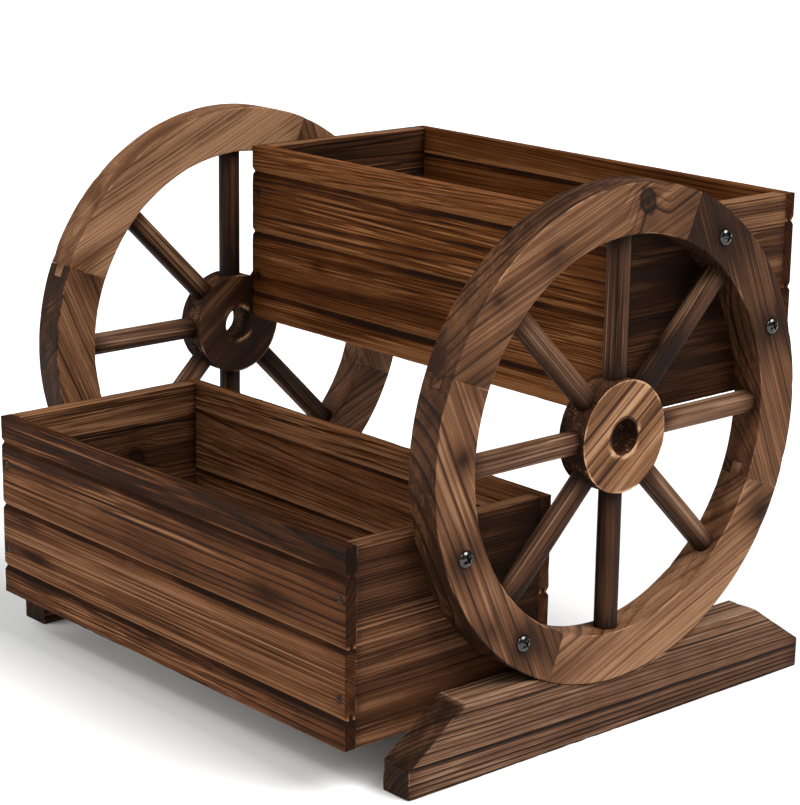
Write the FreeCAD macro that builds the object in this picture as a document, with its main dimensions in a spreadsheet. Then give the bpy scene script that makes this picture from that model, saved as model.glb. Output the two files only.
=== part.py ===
import FreeCAD, Part
import os
import Sketcher
from FreeCAD import Placement, Rotation, Vector

# Two-tier garden planter carried on a pair of fixed wooden wagon wheels.
# Frame: +Z up, +X along the boxes from the left wheel to the right wheel, -Y towards the
# lower box. The origin lies on the ground, in the middle of the planter's footprint.
# All lengths are in millimetres.

DIMENSIONS = {
    # wheels
    "wheel_radius": 230, "rim_width": 46, "rim_thick": 34, "axle_y": 20, "axle_z": 281,
    "finger_thick": 11, "finger_length": 12,
    "hub_radius": 52.5, "hub_thick": 31, "hub_bore": 17.5,
    "spoke_radius": 11, "tenon_length": 14,
    # boxes
    "box_length": 532, "box_depth": 240, "box_height": 183,
    "lower_base": 47, "upper_base": 287, "tier_gap": 76,
    "board_thick": 12, "edge_course": 27, "groove_depth": 3, "groove_height": 4.5,
    "lip_height": 3.5, "tongue_start": 5, "tongue_thick": 4, "tongue_height": 5, "end_thick": 16,
    "cleat_height": 20, "cleat_thick": 18, "slat_thick": 10, "slat_gap": 6,
    # foot boards
    "foot_length": 512, "foot_height": 74, "foot_toe": 29, "foot_slope": 66,
    "foot_centre": 22,
    # screws that hold the wheels on
    "bolt_head_radius": 8, "bolt_head_height": 5, "bolt_radius": 3.5, "bolt_length": 46,
    "bolt_circle": 207,
    # countersunk screws at the ends of the front and back boards
    "screw_head_radius": 3.5, "screw_head_height": 2.5, "screw_radius": 1.75,
    "screw_length": 35, "screw_inset": 8.5, "screw_low": 46, "screw_high": 135,
    # cross recess, as a share of the head's radius
    "recess_span": 0.55, "recess_width": 0.2, "recess_depth": 0.3,
}

SPOKE_COUNT = 8
FELLOE_NAMES = ("rear", "top", "front", "bottom")
FELLOE_ANGLE = 90
FIRST_JOINT_ANGLE = -22.5
BOLT_ANGLES = {"upper": (21, 54), "lower": (201, 234)}
SIDES = {"left": -1, "right": 1}
TIERS = ("lower", "upper")
FACES = ("front", "back")
COURSES = ("bottom", "lower", "upper", "top")
SLAT_NAMES = ("front", "middle", "rear")

# Local Z to +X, local X to +Y, local Y to +Z: from a drawing plane to the wheel's plane.
WHEEL_TURN = Rotation(Vector(1, 1, 1), 120)

doc = FreeCAD.newDocument("Planter")
sheet = doc.addObject("Spreadsheet::Sheet", "Dims")
for row, (alias, number) in enumerate(DIMENSIONS.items(), start=1):
    sheet.set(f"A{row}", alias)
    sheet.set(f"B{row}", str(number))
    sheet.setAlias(f"B{row}", alias)
doc.recompute()

subparts = []


def size(text):
    """Expression text in which every dimension name refers to the sheet."""
    words = text.replace("(", "( ").replace(")", " )").split()
    return " ".join(f"Dims.{word}" if word in DIMENSIONS else word for word in words)


def value(text):
    """Number that an expression in dimension names gives."""
    result = sheet.evalExpression(size(text))
    return float(getattr(result, "Value", result))


def bind(thing, **sizes):
    for name, text in sizes.items():
        thing.setExpression(name, size(text))
    return thing


def place(thing, x="0", y="0", z="0", turn=Rotation()):
    """Puts a thing at a point given by three expressions."""
    thing.Placement = Placement(Vector(value(x), value(y), value(z)), turn)
    for axis, text in (("x", x), ("y", y), ("z", z)):
        thing.setExpression(f"Placement.Base.{axis}", size(text))
    return thing


def keep(thing, label):
    thing.Label = label
    subparts.append(thing)
    return thing


def box(name, length, width, height):
    thing = doc.addObject("Part::Box", name)
    return bind(thing, Length=length, Width=width, Height=height)


def cylinder(name, radius, height, angle=360):
    thing = doc.addObject("Part::Cylinder", name)
    thing.Angle = angle
    return bind(thing, Radius=radius, Height=height)


def cone(name, radius_low, radius_high, height):
    thing = doc.addObject("Part::Cone", name)
    return bind(thing, Radius1=radius_low, Radius2=radius_high, Height=height)


def group(name, things):
    thing = doc.addObject("Part::Compound", name)
    thing.Links = things
    return thing


def fuse(name, things):
    thing = doc.addObject("Part::MultiFuse", name)
    thing.Shapes = things
    thing.Refine = True
    return thing


def cut(name, base, tools):
    thing = doc.addObject("Part::Cut", name)
    thing.Base = base
    thing.Tool = tools[0] if len(tools) == 1 else group(f"{name}_tools", tools)
    return thing


def common(name, base, tool):
    thing = doc.addObject("Part::Common", name)
    thing.Base = base
    thing.Tool = tool
    return thing


def padded_profile(name, corners, length):
    """Body padded both ways along X from a closed outline of (Y, Z) expressions."""
    body = doc.addObject("PartDesign::Body", name)
    sketch = body.newObject("Sketcher::SketchObject", f"{name}_outline")
    plane = next(item for item in body.Origin.OriginFeatures if item.Role == "YZ_Plane")
    sketch.AttachmentSupport = [(plane, "")]
    sketch.MapMode = "FlatFace"
    points = [Vector(value(y), value(z), 0) for y, z in corners]
    for index, start in enumerate(points):
        sketch.addGeometry(Part.LineSegment(start, points[(index + 1) % len(points)]), False)
    for index in range(len(points)):
        following = (index + 1) % len(points)
        sketch.addConstraint(Sketcher.Constraint("Coincident", index, 2, following, 1))
    for index, (y, z) in enumerate(corners):
        for kind, text in (("DistanceX", y), ("DistanceY", z)):
            number = sketch.addConstraint(
                Sketcher.Constraint(kind, -1, 1, index, 1, value(text)))
            sketch.setExpression(f"Constraints[{number}]", size(text))
    pad = body.newObject("PartDesign::Pad", f"{name}_pad")
    pad.Profile = sketch
    pad.Midplane = True
    bind(pad, Length=length)
    sketch.Visibility = False
    return body


# ---------------------------------------------------------------- screws

def cross_recess(name, head_radius):
    """Two crossed bars as deep as the recess, with their top at local Z = 0."""
    span = f"2 * {head_radius} * recess_span"
    width = f"{head_radius} * recess_width"
    depth = f"{head_radius} * recess_depth"
    bars = []
    for suffix, (along, across) in {"a": (span, width), "b": (width, span)}.items():
        bar = box(f"{name}_{suffix}", along, across, depth)
        bars.append(place(bar, f"-1 * {along} / 2", f"-1 * {across} / 2", f"-1 * {depth}"))
    return fuse(name, bars)


def bolt_form():
    """Domed wood screw: the head sits on local Z = 0 and the shank points down."""
    ball = doc.addObject("Part::Sphere", "bolt_ball")
    bind(ball, Radius="(bolt_head_radius ^ 2 + bolt_head_height ^ 2) / (2 * bolt_head_height)")
    sphere_centre = "(bolt_head_height ^ 2 - bolt_head_radius ^ 2) / (2 * bolt_head_height)"
    place(ball, z=sphere_centre)
    blank = cylinder("bolt_head_blank", "bolt_head_radius", "bolt_head_height")
    dome = common("bolt_dome", ball, blank)
    recess = cross_recess("bolt_recess", "bolt_head_radius")
    raised = place(group("bolt_recess_raised", [recess]), z="bolt_head_height")
    head = cut("bolt_head", dome, [raised])
    shank = cylinder("bolt_shank", "bolt_radius", "bolt_length - 2 * bolt_radius")
    place(shank, z="2 * bolt_radius - bolt_length")
    tip = cone("bolt_tip", "bolt_radius / 4", "bolt_radius", "2 * bolt_radius")
    place(tip, z="-1 * bolt_length")
    return fuse("bolt_form", [head, shank, tip])


def screw_pocket_form():
    """What a countersunk screw takes out of the wood: its mouth is at local Z = 0."""
    head = cone("screw_head", "screw_radius", "screw_head_radius", "screw_head_height")
    place(head, z="-1 * screw_head_height")
    straight = "screw_length - screw_head_height - 3 * screw_radius"
    shank = cylinder("screw_shank", "screw_radius", straight)
    place(shank, z="3 * screw_radius - screw_length")
    tip = cone("screw_tip", "screw_radius / 4", "screw_radius", "3 * screw_radius")
    place(tip, z="-1 * screw_length")
    return fuse("screw_pocket_form", [head, shank, tip])


bolt = bolt_form()
pocket = screw_pocket_form()
screw = cut("screw_form", pocket, [cross_recess("screw_recess", "screw_head_radius")])
bolts = {}
screws = []
pockets = {}
for side, sign in SIDES.items():
    outward = Rotation(Vector(0, 1, 0), 90 * sign)
    for tier in TIERS:
        for angle in BOLT_ANGLES[tier]:
            copy = group(f"{side}_{tier}_bolt_{angle}", [bolt])
            turn = outward.multiply(Rotation(Vector(0, 0, 1), angle))
            place(copy, f"{sign} * (box_length / 2 + rim_thick)",
                  f"axle_y + bolt_circle * cos( {angle} deg )",
                  f"axle_z + bolt_circle * sin( {angle} deg )", turn)
            bolts.setdefault((side, tier), []).append(copy)

FRONT_PLANE = {"lower": "-1 * (box_depth + tier_gap / 2)", "upper": "tier_gap / 2"}
for tier in TIERS:
    for face, sign in (("front", -1), ("back", 1)):
        outward = Rotation(Vector(1, 0, 0), -90 * sign)
        plane = FRONT_PLANE[tier] if face == "front" else f"{FRONT_PLANE[tier]} + box_depth"
        for side, end in SIDES.items():
            for course, height in (("lower", "screw_low"), ("upper", "screw_high")):
                turn = outward.multiply(Rotation(Vector(0, 0, 1), 35))
                pair = []
                for use, form in (("screw", screw), ("pocket", pocket)):
                    copy = group(f"{tier}_{face}_{side}_{course}_{use}", [form])
                    place(copy, f"{end} * (box_length / 2 - screw_inset)", plane,
                          f"{tier}_base + {height}", turn)
                    pair.append(copy)
                screws.append(pair[0])
                pockets[tier, face, side, course] = pair[1]

keep(group("all_bolts", [item for items in bolts.values() for item in items]), "wheel_screws")
keep(group("all_screws", screws), "panel_screws")


# ---------------------------------------------------------------- boxes

FULL_COURSE = "(box_height / 2 - edge_course)"
COURSE_START = {"bottom": "0", "lower": "edge_course", "upper": "box_height / 2",
                "top": "(box_height - edge_course)"}
COURSE_HEIGHT = {"bottom": "edge_course", "lower": FULL_COURSE, "upper": FULL_COURSE,
                 "top": "edge_course"}


def course_outline(course):
    """Section of one board, outer face at Y = 0: tongue on top, bevels above and below."""
    top = COURSE_HEIGHT[course]
    tongue_end = "tongue_start + tongue_thick"
    points = []
    if course == "bottom":
        points += [("0", "0"), ("board_thick", "0")]
    else:
        points += [("0", "groove_height"), ("groove_depth", "0"),
                   ("tongue_start", "0"), ("tongue_start", "tongue_height"),
                   (tongue_end, "tongue_height"), (tongue_end, "0"), ("board_thick", "0")]
    if course == "top":
        points += [("board_thick", top), ("0", top)]
    else:
        points += [("board_thick", top), (tongue_end, top),
                   (tongue_end, f"{top} + tongue_height"),
                   ("tongue_start", f"{top} + tongue_height"), ("tongue_start", top),
                   ("groove_depth", top), ("0", f"{top} - lip_height")]
    return points


for tier in TIERS:
    front = FRONT_PLANE[tier]
    base = f"{tier}_base"
    for face in FACES:
        turn = Rotation(Vector(0, 0, 1), 0 if face == "front" else 180)
        plane = front if face == "front" else f"{front} + box_depth"
        for course in COURSES:
            name = f"{tier}_{face}_board_{course}"
            fixed = [pockets[tier, face, side, course] for side in SIDES
                     if course in ("lower", "upper")]
            board = padded_profile(f"{name}_blank" if fixed else name,
                                   course_outline(course), "box_length")
            place(board, "0", plane, f"{base} + {COURSE_START[course]}", turn)
            keep(cut(name, board, fixed) if fixed else board, name)

    for side, sign in SIDES.items():
        panel = box(f"{tier}_end_panel_{side}_blank", "end_thick",
                    "box_depth - 2 * board_thick", "box_height")
        inner = "box_length / 2 - end_thick" if sign > 0 else "-1 * box_length / 2"
        place(panel, inner, f"{front} + board_thick", base)
        fixed = [pockets[tier, face, side, course]
                 for face in FACES for course in ("lower", "upper")]
        name = f"{tier}_end_panel_{side}"
        keep(cut(name, panel, fixed + bolts[side, tier]), name)

        cleat = box(f"{tier}_floor_cleat_{side}", "cleat_thick",
                    "box_depth - 2 * board_thick", "cleat_height")
        reach = "(box_length / 2 - end_thick)"
        start = f"{reach} - cleat_thick" if sign > 0 else f"-1 * {reach}"
        keep(place(cleat, start, f"{front} + board_thick", base), cleat.Name)

    for index, slat_name in enumerate(SLAT_NAMES):
        width = "((box_depth - 2 * board_thick - 2 * slat_gap) / 3)"
        slat = box(f"{tier}_floor_slat_{slat_name}", "box_length - 2 * end_thick",
                   width, "slat_thick")
        place(slat, "end_thick - box_length / 2",
              f"{front} + board_thick + {index} * ({width} + slat_gap)",
              f"{base} + cleat_height")
        keep(slat, slat.Name)


# ---------------------------------------------------------------- wheels and feet

def wheel_disc(name, radius, thick, mid_plane, angle=360, start=0):
    """Disc about the axle line, centred on the plane X = mid_plane."""
    disc = cylinder(name, radius, thick, angle)
    turn = Rotation(Vector(1, 0, 0), start).multiply(WHEEL_TURN)
    return place(disc, f"{mid_plane} - {thick} / 2", "axle_y", "axle_z", turn)


def finger_block(name, mid_plane, angle):
    """Block that crosses the rim just beyond the joint at the given angle."""
    block = box(name, "rim_width + 20", "finger_length", "finger_thick")
    radius = "(wheel_radius - rim_width - 10)"
    turn = Rotation(Vector(1, 0, 0), angle).multiply(WHEEL_TURN)
    return place(block, f"{mid_plane} - finger_thick / 2",
                 f"axle_y + {radius} * cos( {angle} deg )",
                 f"axle_z + {radius} * sin( {angle} deg )", turn)


for side, sign in SIDES.items():
    mid_plane = f"{sign} * (box_length / 2 + rim_thick / 2)"

    spokes = []
    for index in range(SPOKE_COUNT):
        angle = index * 360 / SPOKE_COUNT
        reach = "wheel_radius - rim_width - hub_radius + 2 * tenon_length"
        spoke = cylinder(f"{side}_spoke_{int(angle):03d}", "spoke_radius", reach)
        start = "(hub_radius - tenon_length)"
        place(spoke, mid_plane, f"axle_y + {start} * cos( {angle} deg )",
              f"axle_z + {start} * sin( {angle} deg )",
              Rotation(Vector(1, 0, 0), angle - 90))
        spokes.append(keep(spoke, spoke.Name))

    hub_blank = wheel_disc(f"{side}_hub_blank", "hub_radius", "hub_thick", mid_plane)
    hub_bore = wheel_disc(f"{side}_hub_bore", "hub_bore", "hub_thick", mid_plane)
    keep(cut(f"{side}_hub", hub_blank, [hub_bore] + spokes), f"{side}_hub")

    tyre_disc = wheel_disc(f"{side}_rim_outside", "wheel_radius", "rim_thick", mid_plane)
    inner_disc = wheel_disc(f"{side}_rim_inside", "wheel_radius - rim_width",
                            "rim_thick", mid_plane)
    rim = cut(f"{side}_rim_ring", tyre_disc, [inner_disc])

    for index, felloe_name in enumerate(FELLOE_NAMES):
        name = f"{side}_felloe_{felloe_name}"
        start = FIRST_JOINT_ANGLE + index * FELLOE_ANGLE
        stop = start + FELLOE_ANGLE
        quarter = wheel_disc(f"{name}_quarter", "wheel_radius + 5", "rim_thick", mid_plane,
                             FELLOE_ANGLE, start)
        finger = finger_block(f"{name}_finger", mid_plane, stop)
        slot = finger_block(f"{name}_slot", mid_plane, start)
        jointed = cut(f"{name}_jointed", fuse(f"{name}_fingered", [quarter, finger]), [slot])
        blank = common(f"{name}_blank", rim, jointed)
        held = [spokes[number] for number in range(SPOKE_COUNT)
                if 0 < (number * 360 / SPOKE_COUNT - start) % 360 < FELLOE_ANGLE]
        for tier in TIERS:
            held += [copy for copy, angle in zip(bolts[side, tier], BOLT_ANGLES[tier])
                     if 0 < (angle - start) % 360 < FELLOE_ANGLE]
        keep(cut(name, blank, held), name)

    half = "foot_length / 2"
    foot_blank = padded_profile(f"{side}_foot_blank", [
        (f"-1 * {half}", "0"), (half, "0"), (half, "foot_toe"),
        (f"{half} - foot_slope", "foot_height"),
        (f"foot_slope - {half}", "foot_height"), (f"-1 * {half}", "foot_toe")], "rim_thick")
    place(foot_blank, mid_plane, "foot_centre")
    keep(cut(f"{side}_foot", foot_blank, [tyre_disc]), f"{side}_foot")


# ---------------------------------------------------------------- checks and output

doc.recompute()
for thing in doc.Objects:
    if {"Invalid", "Error"} & set(thing.State):
        raise RuntimeError(f"{thing.Label} did not recompute: {thing.State}")
for part in subparts:
    if part.Shape.isNull() or not part.Shape.isValid() or not part.Shape.Solids:
        raise RuntimeError(f"{part.Label} has no valid solid")

os.makedirs("parts", exist_ok=True)
for part in subparts:
    part.Shape.exportStep(f"parts/{part.Label}.step")
print(f"{len(subparts)} sub-parts written")
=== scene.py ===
from math import asin, ceil, cos, hypot, pi, radians, sin, sqrt
from random import Random

import bmesh
import bpy
from mathutils import Matrix, Vector, noise


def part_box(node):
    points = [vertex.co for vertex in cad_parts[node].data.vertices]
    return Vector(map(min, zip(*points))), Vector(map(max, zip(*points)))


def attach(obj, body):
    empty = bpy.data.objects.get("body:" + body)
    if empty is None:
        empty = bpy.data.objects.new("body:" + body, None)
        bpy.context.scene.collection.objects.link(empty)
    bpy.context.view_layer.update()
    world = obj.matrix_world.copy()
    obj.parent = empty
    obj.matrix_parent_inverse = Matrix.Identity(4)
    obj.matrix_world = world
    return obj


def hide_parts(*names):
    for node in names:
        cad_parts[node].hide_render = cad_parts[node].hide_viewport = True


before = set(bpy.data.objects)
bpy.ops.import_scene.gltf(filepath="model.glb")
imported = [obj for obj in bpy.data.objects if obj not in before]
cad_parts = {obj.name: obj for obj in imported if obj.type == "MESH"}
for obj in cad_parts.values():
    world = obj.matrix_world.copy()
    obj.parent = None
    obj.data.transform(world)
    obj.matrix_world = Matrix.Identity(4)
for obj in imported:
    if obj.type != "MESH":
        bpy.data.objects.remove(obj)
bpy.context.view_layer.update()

# Two-tier planter of burnt softwood: two board boxes between two spoked wagon wheels.
# Metres, in the frame of the CAD model: +Z up, +X along the boxes, -Y towards the lower box.

AXLE_Y, AXLE_Z = 0.020, 0.281
BOLT_CIRCLE = 0.207
BOLT_ANGLES = (21, 54, 201, 234)
SCREW_INSET, SCREW_LOW, SCREW_HIGH = 0.0085, 0.046, 0.135
GROOVE_DEPTH, GROOVE_HEIGHT, LIP_HEIGHT = 0.003, 0.0045, 0.0035
TONGUE_START, TONGUE_THICK, TONGUE_HEIGHT = 0.005, 0.004, 0.005
DISH_RADIUS, DISH_SLOPE, DISH_DEPTH = 0.0052, 0.0014, 0.0013
RIM_DEPTH = 0.046
FINGER_THICK, FINGER_LENGTH = 0.011, 0.012
HUB_BORE = 0.0175
SPOKE_LENGTH, TENON = 0.1595, 0.014
SPOKE_ANGLES = range(0, 360, 45)
FOOT_TOE, FOOT_SLOPE, CRADLE_GAP = 0.029, 0.066, 0.0004
SIDES = {"left": -1, "right": 1}
TIERS = ("lower", "upper")
COURSES = ("bottom", "lower", "upper", "top")
FELLOES = {"rear": -22.5, "top": 67.5, "front": 157.5, "bottom": 247.5}

# The mesh's cells: the least gap between two lines of a lattice, the strips kept free along
# edges that are rounded, and a length far below any real one, for comparing places.
LEAST_GAP = 4e-4
STRIP, WIDE_STRIP = 0.002, 0.0025
TINY = 1e-5


# ---------------------------------------------------------------- shader helpers

class Graph:
    """A material's node tree, with short calls for the nodes that the woods are made of."""

    def __init__(self, name):
        self.material = bpy.data.materials.new(name)
        self.material.use_nodes = True
        self.tree = self.material.node_tree
        self.shader = self.tree.nodes["Principled BSDF"]

    def feed(self, socket, source):
        if isinstance(source, bpy.types.NodeSocket):
            self.tree.links.new(source, socket)
        elif socket.type == "RGBA" and len(source) == 3:
            socket.default_value = (*source, 1.0)
        else:
            socket.default_value = source

    def node(self, kind, **settings):
        made = self.tree.nodes.new(kind)
        for key, setting in settings.items():
            setattr(made, key, setting)
        return made

    def attribute(self, name, output):
        return self.node("ShaderNodeAttribute", attribute_name=name).outputs[output]

    def math(self, operation, first, second=0.0, clamp=False):
        made = self.node("ShaderNodeMath", operation=operation, use_clamp=clamp)
        self.feed(made.inputs[0], first)
        self.feed(made.inputs[1], second)
        return made.outputs[0]

    def vector(self, operation, first, second):
        made = self.node("ShaderNodeVectorMath", operation=operation)
        self.feed(made.inputs[0], first)
        self.feed(made.inputs[1], second)
        return made.outputs["Value" if operation == "LENGTH" else "Vector"]

    def split(self, vector):
        made = self.node("ShaderNodeSeparateXYZ")
        self.feed(made.inputs[0], vector)
        return made.outputs

    def join(self, x, y, z):
        made = self.node("ShaderNodeCombineXYZ")
        for socket, source in zip(made.inputs, (x, y, z)):
            self.feed(socket, source)
        return made.outputs[0]

    def noise(self, vector, detail=2.0, roughness=0.5):
        made = self.node("ShaderNodeTexNoise")
        self.feed(made.inputs["Vector"], vector)
        made.inputs["Scale"].default_value = 1.0
        made.inputs["Detail"].default_value = detail
        made.inputs["Roughness"].default_value = roughness
        return made.outputs["Fac"]

    def ease(self, value, low, high, to_low=0.0, to_high=1.0):
        made = self.node("ShaderNodeMapRange", interpolation_type="SMOOTHSTEP")
        for name, source in (("Value", value), ("From Min", low), ("From Max", high),
                             ("To Min", to_low), ("To Max", to_high)):
            self.feed(made.inputs[name], source)
        return made.outputs["Result"]

    def ramp(self, value, stops):
        """A colour ramp; each stop is a position and a grey or a colour."""
        made = self.node("ShaderNodeValToRGB")
        elements = made.color_ramp.elements
        while len(elements) < len(stops):
            elements.new(1.0)
        for element, (position, shade) in zip(elements, stops):
            element.position = position
            element.color = (*shade, 1.0) if isinstance(shade, tuple) else (shade, shade, shade, 1.0)
        self.feed(made.inputs["Fac"], value)
        return made.outputs["Color"]

    def mix(self, factor, first, second):
        """Mixes two colours, which are inputs 6 and 7 and output 2 of a mix node."""
        made = self.node("ShaderNodeMix", data_type="RGBA")
        self.feed(made.inputs["Factor"], factor)
        self.feed(made.inputs[6], first)
        self.feed(made.inputs[7], second)
        return made.outputs[2]


# Darkness of a knot, from its middle out to KNOT_RADIUS, and of one year's growth.
KNOT_RADIUS = 0.02
KNOT_PROFILE = ((0.0, 0.7), (0.15, 0.45), (0.28, 0.33), (0.38, 0.6), (0.45, 0.5), (0.56, 0.12),
                (1.0, 0.0))
YEAR_PROFILE = ((0.0, 0.0), (0.5, 0.08), (0.74, 0.45), (0.86, 1.0), (0.95, 0.85), (1.0, 0.0))
# Where a wood's four tones lie between charred and bare, and where its usual surface lies.
TONE_STEPS = (0.0, 0.3, 0.6, 0.95)
USUAL_TONE = 0.68


def wood(name, tones, ring=0.0055, lines=0.5, bands=1.0, scorch=0.5, brushed=1.0, streaks=0.42,
         strip=0.0, shine=0.05, dullness=0.64):
    """Solid burnt softwood, read from each piece's own place in the log.

    The grain runs along X and the log's heart is at Y = Z = 0. tones are the colours from
    charred to bare and ring is a year's growth. lines, bands, scorch, brushed and streaks are
    how strongly the year rings, the long bands of colour, the burnt patches, the brushed-out
    fibres and the fine streaks show. strip is the width of the strips that a panel is glued
    from, shine how much it reflects and dullness its roughness.
    """
    graph = Graph(name)
    place = graph.attribute("grain", "Vector")
    if strip:
        cell = graph.math("FLOOR", graph.math("DIVIDE", graph.attribute("across", "Fac"), strip))
        jump = graph.vector("MULTIPLY", graph.join(cell, cell, cell), (1.73, 0.011, 0.034))
        place = graph.vector("ADD", place, jump)

    def stretched(along, across, shift=0.0):
        """The place in the log, in noise cells of so many to the metre along and across."""
        moved = graph.vector("MULTIPLY", place, (along, across, across))
        return graph.vector("ADD", moved, (shift, shift, shift)) if shift else moved

    def spread(value, amount):
        """A noise from 0 to 1, centred on nothing and scaled."""
        return graph.math("MULTIPLY", graph.math("SUBTRACT", value, 0.5), amount)

    def total(*values):
        result = values[0]
        for value in values[1:]:
            result = graph.math("ADD", result, value)
        return result

    knot_gap = graph.vector("LENGTH", graph.attribute("knot", "Vector"), (0, 0, 0))
    ripple = spread(graph.noise(stretched(90.0, 90.0), 2.0), 0.003)
    knot = graph.ramp(graph.math("MULTIPLY", total(knot_gap, ripple), 1 / KNOT_RADIUS),
                      KNOT_PROFILE)
    swirl = graph.ease(knot_gap, 0.003, 0.032, 0.008, 0.0)

    # Year rings: the distance from the heart, wavering, with years of uneven growth.
    axis = graph.split(place)
    radius = total(graph.vector("LENGTH", graph.join(0.0, axis["Y"], axis["Z"]), (0, 0, 0)),
                   spread(graph.noise(stretched(1.3, 5.0), 1.0), 0.02),
                   spread(graph.noise(stretched(9.0, 32.0, 2.9), 2.0), 0.0016),
                   swirl)
    years = graph.join(graph.math("MULTIPLY", axis["X"], 0.4),
                       graph.math("MULTIPLY", radius, 70.0), 3.7)
    radius = total(radius, spread(graph.noise(years, 1.0), 0.014))
    turns = graph.math("DIVIDE", radius, ring)
    year = graph.node("ShaderNodeTexWhiteNoise", noise_dimensions="1D")
    graph.feed(year.inputs["W"], graph.math("FLOOR", turns))
    strength = graph.ease(year.outputs["Value"], 0.0, 1.0, 0.3, 1.0)
    late = graph.math("MULTIPLY", graph.ramp(graph.math("FRACT", turns), YEAR_PROFILE), strength)

    # Fibres, streaks, bands and scratches, all drawn out along the grain.
    fibre = graph.noise(stretched(11.0, 1000.0), 2.0, 0.6)
    fine = graph.noise(stretched(1.3, 560.0, 17.9), 1.0)
    pale_zone = graph.ease(graph.noise(stretched(1.6, 15.0, 41.3), 1.0), 0.46, 0.6)
    pale_zone = graph.math("MAXIMUM", pale_zone, graph.attribute("brush", "Fac"))
    pale_line = graph.math("MULTIPLY", graph.ease(fine, 0.56, 0.62), pale_zone)
    dark_line = graph.ease(fine, 0.32, 0.44, 1.0, 0.0)
    streak = graph.noise(stretched(1.7, 190.0, 4.7), 2.0, 0.6)
    long_band = graph.noise(stretched(1.5, 55.0, 13.1), 2.0, 0.55)
    tone = graph.noise(stretched(1.6, 11.0, 9.1), 2.0)
    mottle = graph.noise(stretched(26.0, 60.0, 5.5), 3.0, 0.6)
    scratch_zone = graph.ease(graph.noise(stretched(4.0, 30.0, 31.7), 1.0), 0.55, 0.68)
    scratch = graph.ease(graph.noise(stretched(5.0, 900.0, 8.3), 0.0), 0.72, 0.8)
    scratch = graph.math("MULTIPLY", scratch, scratch_zone)

    # The flame's work: burnt patches, and soot where the piece says so, which in places is painted
    # shade.
    patches = total(graph.noise(stretched(3.0, 20.0, 21.3), 3.0, 0.5), spread(streak, 0.22))
    burn = graph.ease(patches, 0.52, 0.74, 0.0, scorch)
    soot = graph.math("MULTIPLY", graph.attribute("soot", "Fac"),
                      graph.ease(graph.noise(stretched(9.0, 60.0, 3.3), 3.0), 0.25, 0.7, 0.4, 1.0))
    burn = graph.math("ADD", burn, soot, clamp=True)

    # All of it together gives one lightness, which the tones turn into a colour.
    lean = graph.attribute("end", "Fac")
    grain = total(spread(fibre, 0.5), spread(streak, streaks),
                  graph.math("MULTIPLY", pale_line, 0.45 * brushed),
                  graph.math("MULTIPLY", dark_line, -0.2 * brushed))
    grain = graph.math("MULTIPLY", grain, graph.ease(lean, 0.05, 0.6, 1.0, 0.3))
    value = total(USUAL_TONE, grain, spread(mottle, 0.22), spread(long_band, 1.1 * bands),
                  spread(tone, 0.45 * bands), graph.math("MULTIPLY", late, -lines),
                  graph.attribute("tone", "Fac"),
                  graph.math("MULTIPLY", graph.math("POWER", lean, 6.0), -0.25),
                  graph.math("MULTIPLY", knot, -0.9))
    value = graph.math("MULTIPLY", graph.math("MAXIMUM", value, 0.0),
                       graph.math("SUBTRACT", 1.0, graph.math("MULTIPLY", burn, 0.9)))
    worn = graph.math("MULTIPLY", graph.attribute("edge", "Fac"),
                      graph.ease(graph.noise(stretched(30.0, 60.0, 7.7), 3.0), 0.42, 0.7, 0.0, 0.5))
    value = total(value, worn, graph.math("MULTIPLY", scratch, 0.25))
    colour = graph.ramp(value, tuple(zip(TONE_STEPS, tones)))
    graph.feed(graph.shader.inputs["Base Color"], colour)

    rough = total(dullness, graph.math("MULTIPLY", late, -0.16), spread(streak, 0.4),
                  graph.math("MULTIPLY", burn, 0.1))
    graph.feed(graph.shader.inputs["Roughness"], rough)
    graph.shader.inputs["Specular IOR Level"].default_value = shine

    relief = total(graph.math("MULTIPLY", late, 0.8), spread(fibre, 0.8), spread(streak, 0.5),
                   spread(fine, 0.8 * brushed))
    bump = graph.node("ShaderNodeBump")
    bump.inputs["Strength"].default_value = 0.8
    bump.inputs["Distance"].default_value = 0.0007
    graph.feed(bump.inputs["Height"], relief)
    graph.feed(graph.shader.inputs["Normal"], bump.outputs["Normal"])
    return graph.material


def metal(name, colour, grime, roughness):
    """Plated steel with dulled, dirty patches a few millimetres across."""
    graph = Graph(name)
    place = graph.node("ShaderNodeTexCoord").outputs["Object"]
    cells = 380
    patches = graph.noise(graph.vector("MULTIPLY", place, (cells, cells, cells)), 3.0)
    dirt = graph.ease(patches, 0.45, 0.75)
    graph.feed(graph.shader.inputs["Base Color"], graph.mix(dirt, colour, grime))
    graph.feed(graph.shader.inputs["Roughness"],
               graph.ease(patches, 0.4, 0.75, roughness, roughness + 0.25))
    graph.shader.inputs["Metallic"].default_value = 1.0
    return graph.material


# Each wood's tones go from charred to bare, in linear light.
CHARRED = (0.0065, 0.0032, 0.0018)
BOARD_WOOD = wood("board_wood", (CHARRED, (0.026, 0.0083, 0.0027), (0.090, 0.033, 0.0115),
                                 (0.20, 0.092, 0.042)), ring=0.0038, lines=0.42, bands=0.4,
                  scorch=0.45, brushed=1.2, streaks=0.12, shine=0.04)
RED_WOOD = wood("red_wood", (CHARRED, (0.0255, 0.0070, 0.0014), (0.088, 0.0275, 0.0062),
                             (0.20, 0.082, 0.029)), ring=0.0038, lines=0.42, bands=0.5,
                scorch=0.5, streaks=0.16, shine=0.03)
END_WOOD = wood("end_wood", (CHARRED, (0.015, 0.0054, 0.002), (0.052, 0.020, 0.008),
                             (0.165, 0.077, 0.036)), ring=0.0035, lines=0.5, bands=1.2,
                scorch=0.6, strip=0.061)
FLOOR_WOOD = wood("floor_wood", (CHARRED, (0.018, 0.007, 0.003), (0.060, 0.025, 0.010),
                                 (0.15, 0.075, 0.037)), ring=0.004, scorch=0.4)
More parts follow.
